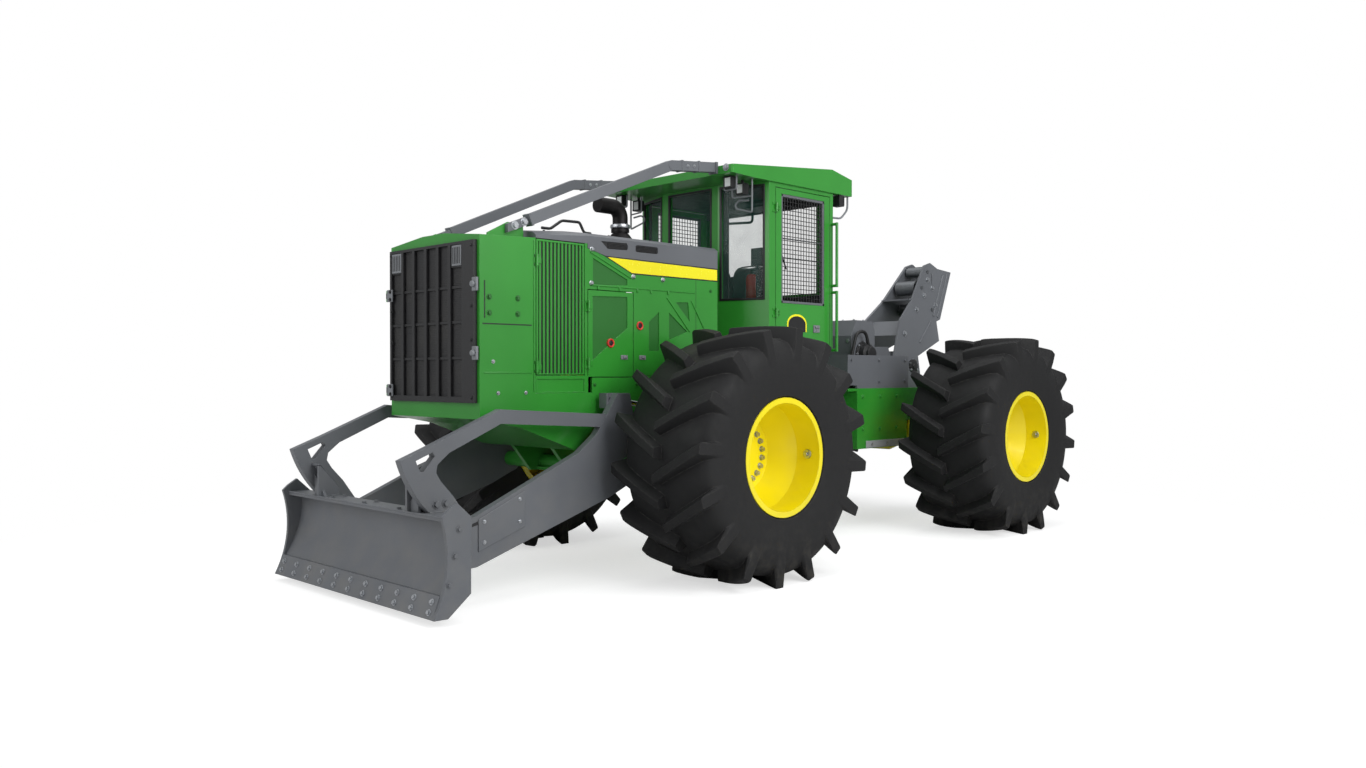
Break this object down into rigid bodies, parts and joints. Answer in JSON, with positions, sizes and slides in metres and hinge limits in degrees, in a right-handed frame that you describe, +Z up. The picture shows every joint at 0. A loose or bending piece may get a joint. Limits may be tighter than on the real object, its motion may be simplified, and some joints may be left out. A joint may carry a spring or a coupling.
{
  "type": "cable skidder",
  "caption": "Articulated forestry cable skidder with front blade, cab, brush rails, rear winch and fixed arch, on four lugged tyres.",
  "frame": {"origin": "on the ground at the middle of the length and width", "axes": "+Z up, the machine faces -Y, +X is its left side"},
  "size_m": [3.52, 7.42, 3.378],
  "materials": {
    "green_paint": "gloss machine paint",
    "yellow_paint": "gloss paint",
    "charcoal_paint": "satin paint",
    "black_paint": "satin black paint",
    "chromed_rod": "hard chrome",
    "tyre": "matt rubber",
    "glass": "clear pane",
    "seat_cloth": "black cloth and trim"
  },
  "bodies": {
    "front_body": {"front_frame": "green_paint", "front_axle": "yellow_paint", "engine_block": "black_paint", "radiator_core": "black_paint", "nose_shell": "green_paint", "hood_top": "charcoal_paint", "side_panels": "green_paint", "exhaust_pipe": "black_paint", "brush_rails": "charcoal_paint", "cab_shell": "green_paint", "cab_glass": "glass", "cab_roof": "green_paint", "cab_interior": "seat_cloth", "work_lamps": "black_paint"},
    "rear_body": {"rear_frame": "green_paint", "rear_axle": "yellow_paint", "winch_guard": "charcoal_paint", "winch_housing": "charcoal_paint", "arch": "charcoal_paint", "butt_plate": "charcoal_paint", "rear_hitch": "charcoal_paint"},
    "blade_body": {"blade": "charcoal_paint", "push_arms": "charcoal_paint", "deflector_bars": "charcoal_paint"},
    "grille": {"grille_door": "black_paint"},
    "drum": {"winch_drum": "charcoal_paint"},
    "roller_top": {"roller_top": "charcoal_paint"},
    "roller_low": {"roller_low": "charcoal_paint"},
    "roller_mid": {"roller_mid": "charcoal_paint"},
    "louvre_left": {"louvre_door_left": "green_paint"},
    "engine_access_left": {"engine_door_left": "green_paint"},
    "cab_access_left": {"cab_door_left": "green_paint"},
    "lift_barrel_left": {"lift_barrel_left": "charcoal_paint"},
    "lift_rod_left": {"lift_rod_left": "chromed_rod"},
    "steer_barrel_left": {"steer_barrel_left": "charcoal_paint"},
    "steer_rod_left": {"steer_rod_left": "chromed_rod"},
    "wheel_front_left": {"tyre_front_left": "tyre", "rim_front_left": "yellow_paint"},
    "wheel_rear_left": {"tyre_rear_left": "tyre", "rim_rear_left": "yellow_paint"},
    "louvre_right": {"louvre_door_right": "green_paint"},
    "engine_access_right": {"engine_door_right": "green_paint"},
    "cab_access_right": {"cab_door_right": "green_paint"},
    "lift_barrel_right": {"lift_barrel_right": "charcoal_paint"},
    "lift_rod_right": {"lift_rod_right": "chromed_rod"},
    "steer_barrel_right": {"steer_barrel_right": "charcoal_paint"},
    "steer_rod_right": {"steer_rod_right": "chromed_rod"},
    "wheel_front_right": {"tyre_front_right": "tyre", "rim_front_right": "yellow_paint"},
    "wheel_rear_right": {"tyre_rear_right": "tyre", "rim_rear_right": "yellow_paint"}
  },
  "joints": [
    {"name": "articulation", "type": "hinge", "parent": "front_body", "child": "rear_body", "pos_m": [0, 0.646, 0.88], "axis": [0, 0, 1], "range_deg": [-45, 45]},
    {"name": "blade_lift", "type": "hinge", "parent": "front_body", "child": "blade_body", "pos_m": [0, -1.83, 0.85], "axis": [1, 0, 0], "range_deg": [-22, 6]},
    {"name": "grille_swing", "type": "hinge", "parent": "front_body", "child": "grille", "pos_m": [-0.6, -3.018, 1.78], "axis": [0, 0, -1], "range_deg": [0, 90]},
    {"name": "drum_spin", "type": "hinge", "parent": "rear_body", "child": "drum", "pos_m": [0, 2.16, 1.62], "axis": [1, 0, 0], "continuous": true},
    {"name": "roller_top_spin", "type": "hinge", "parent": "rear_body", "child": "roller_top", "pos_m": [0, 3.21, 2.685], "axis": [1, 0, 0], "continuous": true},
    {"name": "roller_mid_spin", "type": "hinge", "parent": "rear_body", "child": "roller_mid", "pos_m": [0, 3.045, 2.5], "axis": [1, 0, 0], "continuous": true},
    {"name": "roller_low_spin", "type": "hinge", "parent": "rear_body", "child": "roller_low", "pos_m": [0, 3.19, 2.26], "axis": [1, 0, 0], "continuous": true},
    {"name": "louvre_swing_left", "type": "hinge", "parent": "front_body", "child": "louvre_left", "pos_m": [0.5873, -2.531, 1.93], "axis": [0, 0, -1], "range_deg": [0, 105]},
    {"name": "engine_swing_left", "type": "hinge", "parent": "front_body", "child": "engine_access_left", "pos_m": [0.5873, -2.058, 1.93], "axis": [0, 0, -1], "range_deg": [0, 38]},
    {"name": "cab_swing_left", "type": "hinge", "parent": "front_body", "child": "cab_access_left", "pos_m": [0.793, -0.167, 2.43], "axis": [0, 0, -1], "range_deg": [0, 95]},
    {"name": "lift_barrel_tilt_left", "type": "hinge", "parent": "front_body", "child": "lift_barrel_left", "pos_m": [0.67, -0.92, 1.21], "axis": [-1, 0, 0], "range_deg": [-1, 2]},
    {"name": "lift_rod_slide_left", "type": "slide", "parent": "lift_barrel_left", "child": "lift_rod_left", "axis": [0, -0.9878, 0.156], "range_m": [-0.2, 0.06]},
    {"name": "steer_barrel_swing_left", "type": "hinge", "parent": "front_body", "child": "steer_barrel_left", "pos_m": [0.36, 0.146, 0.87], "axis": [0, 0, 1], "range_deg": [-24, 24]},
    {"name": "steer_rod_slide_left", "type": "slide", "parent": "steer_barrel_left", "child": "steer_rod_left", "axis": [0, 1, 0], "range_m": [-0.28, 0.28]},
    {"name": "wheel_spin_front_left", "type": "hinge", "parent": "front_body", "child": "wheel_front_left", "pos_m": [1.32, -1.17, 0.95], "axis": [1, 0, 0], "continuous": true},
    {"name": "wheel_spin_rear_left", "type": "hinge", "parent": "rear_body", "child": "wheel_rear_left", "pos_m": [1.32, 2.462, 0.95], "axis": [1, 0, 0], "continuous": true},
    {"name": "louvre_swing_right", "type": "hinge", "parent": "front_body", "child": "louvre_right", "pos_m": [-0.5873, -2.531, 1.93], "axis": [0, 0, 1], "range_deg": [0, 105]},
    {"name": "engine_swing_right", "type": "hinge", "parent": "front_body", "child": "engine_access_right", "pos_m": [-0.5873, -2.058, 1.93], "axis": [0, 0, 1], "range_deg": [0, 38]},
    {"name": "cab_swing_right", "type": "hinge", "parent": "front_body", "child": "cab_access_right", "pos_m": [-0.793, -0.167, 2.43], "axis": [0, 0, 1], "range_deg": [0, 95]},
    {"name": "lift_barrel_tilt_right", "type": "hinge", "parent": "front_body", "child": "lift_barrel_right", "pos_m": [-0.67, -0.92, 1.21], "axis": [-1, 0, 0], "range_deg": [-1, 2]},
    {"name": "lift_rod_slide_right", "type": "slide", "parent": "lift_barrel_right", "child": "lift_rod_right", "axis": [0, -0.9878, 0.156], "range_m": [-0.2, 0.06]},
    {"name": "steer_barrel_swing_right", "type": "hinge", "parent": "front_body", "child": "steer_barrel_right", "pos_m": [-0.36, 0.146, 0.87], "axis": [0, 0, 1], "range_deg": [-24, 24]},
    {"name": "steer_rod_slide_right", "type": "slide", "parent": "steer_barrel_right", "child": "steer_rod_right", "axis": [0, 1, 0], "range_m": [-0.28, 0.28]},
    {"name": "wheel_spin_front_right", "type": "hinge", "parent": "front_body", "child": "wheel_front_right", "pos_m": [-1.32, -1.17, 0.95], "axis": [1, 0, 0], "continuous": true},
    {"name": "wheel_spin_rear_right", "type": "hinge", "parent": "rear_body", "child": "wheel_rear_right", "pos_m": [-1.32, 2.462, 0.95], "axis": [1, 0, 0], "continuous": true}
  ],
  "couplings": [
    {"joint": "lift_barrel_tilt_left", "follows": "blade_lift", "ratio": -0.05},
    {"joint": "lift_rod_slide_left", "follows": "blade_lift", "m_per_rad": 0.5078},
    {"joint": "steer_barrel_swing_left", "follows": "articulation", "ratio": 0.5113},
    {"joint": "steer_rod_slide_left", "follows": "articulation", "m_per_rad": 0.3508},
    {"joint": "lift_barrel_tilt_right", "follows": "blade_lift", "ratio": -0.05},
    {"joint": "lift_rod_slide_right", "follows": "blade_lift", "m_per_rad": 0.5078},
    {"joint": "steer_barrel_swing_right", "follows": "articulation", "ratio": 0.5113},
    {"joint": "steer_rod_slide_right", "follows": "articulation", "m_per_rad": -0.3508}
  ]
}
